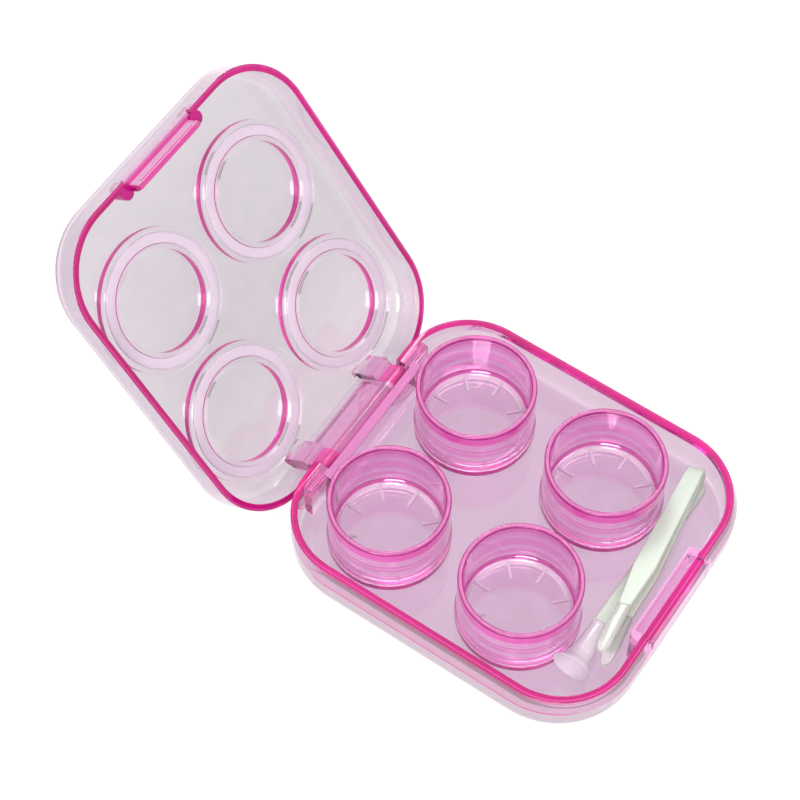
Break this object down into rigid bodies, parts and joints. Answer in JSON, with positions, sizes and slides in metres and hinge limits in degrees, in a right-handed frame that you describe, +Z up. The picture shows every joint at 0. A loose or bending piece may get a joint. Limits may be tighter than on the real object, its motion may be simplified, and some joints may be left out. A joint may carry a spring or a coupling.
{
  "type": "contact lens case",
  "caption": "Flip-top contact lens case: a clear pink tray with lift-out lens pots, a hinged lid with a ring seal for each pot, tweezers and a suction stick.",
  "frame": {"origin": "centre of the tray's underside", "axes": "+Z up, +X along the hinge to the right seen from the latch side, -Y towards the latch"},
  "size_m": [0.0622, 0.1133, 0.0591],
  "materials": {
    "clear_shell": "clear pink injection-moulded polystyrene, glossy",
    "pot_pink": "clear stronger pink moulded plastic, glossy",
    "seal_silicone": "translucent pale lilac silicone",
    "clear_silicone": "clear soft silicone",
    "milky_plastic": "milky natural polypropylene, satin",
    "steel": "bright drawn steel"
  },
  "bodies": {
    "case_tray": {"tray": "clear_shell", "hinge_pin_left": "steel", "hinge_pin_right": "steel"},
    "case_lid": {"lid": "clear_shell", "lid_seal_rear_left": "seal_silicone", "lid_seal_rear_right": "seal_silicone", "lid_seal_front_left": "seal_silicone", "lid_seal_front_right": "seal_silicone"},
    "suction_stick": {"suction_stick_handle": "milky_plastic", "suction_cup": "clear_silicone"},
    "tweezers": {"tweezers_lower_arm": "milky_plastic", "tip_sleeve_lower": "clear_silicone"},
    "tweezers_squeeze_arm": {"tweezers_upper_arm": "milky_plastic", "tip_sleeve_upper": "clear_silicone"},
    "pot_rear_left": {"lens_pot_rear_left": "pot_pink"},
    "pot_rear_right": {"lens_pot_rear_right": "pot_pink"},
    "pot_front_left": {"lens_pot_front_left": "pot_pink"},
    "pot_front_right": {"lens_pot_front_right": "pot_pink"}
  },
  "joints": [
    {"name": "lid_hinge", "type": "hinge", "parent": "case_tray", "child": "case_lid", "pos_m": [0, 0.03245, 0.0073], "axis": [1, 0, 0], "range_deg": [0, 126.3]},
    {"name": "pot_rear_left_lift", "type": "slide", "parent": "case_tray", "child": "pot_rear_left", "axis": [0, 0, 1], "range_m": [0, 0.03]},
    {"name": "pot_rear_right_lift", "type": "slide", "parent": "case_tray", "child": "pot_rear_right", "axis": [0, 0, 1], "range_m": [0, 0.03]},
    {"name": "pot_front_left_lift", "type": "slide", "parent": "case_tray", "child": "pot_front_left", "axis": [0, 0, 1], "range_m": [0, 0.03]},
    {"name": "pot_front_right_lift", "type": "slide", "parent": "case_tray", "child": "pot_front_right", "axis": [0, 0, 1], "range_m": [0, 0.03]},
    {"name": "suction_stick_lift", "type": "slide", "parent": "case_tray", "child": "suction_stick", "axis": [0, 0, 1], "range_m": [0, 0.03]},
    {"name": "tweezers_lift", "type": "slide", "parent": "suction_stick", "child": "tweezers", "axis": [0, 0, 1], "range_m": [0, 0.03]},
    {"name": "tweezers_squeeze", "type": "hinge", "parent": "tweezers", "child": "tweezers_squeeze_arm", "pos_m": [0.02633, -0.02298, 0.005], "axis": [0.1545, -0.9536, 0.2583], "range_deg": [0, 3]}
  ]
}
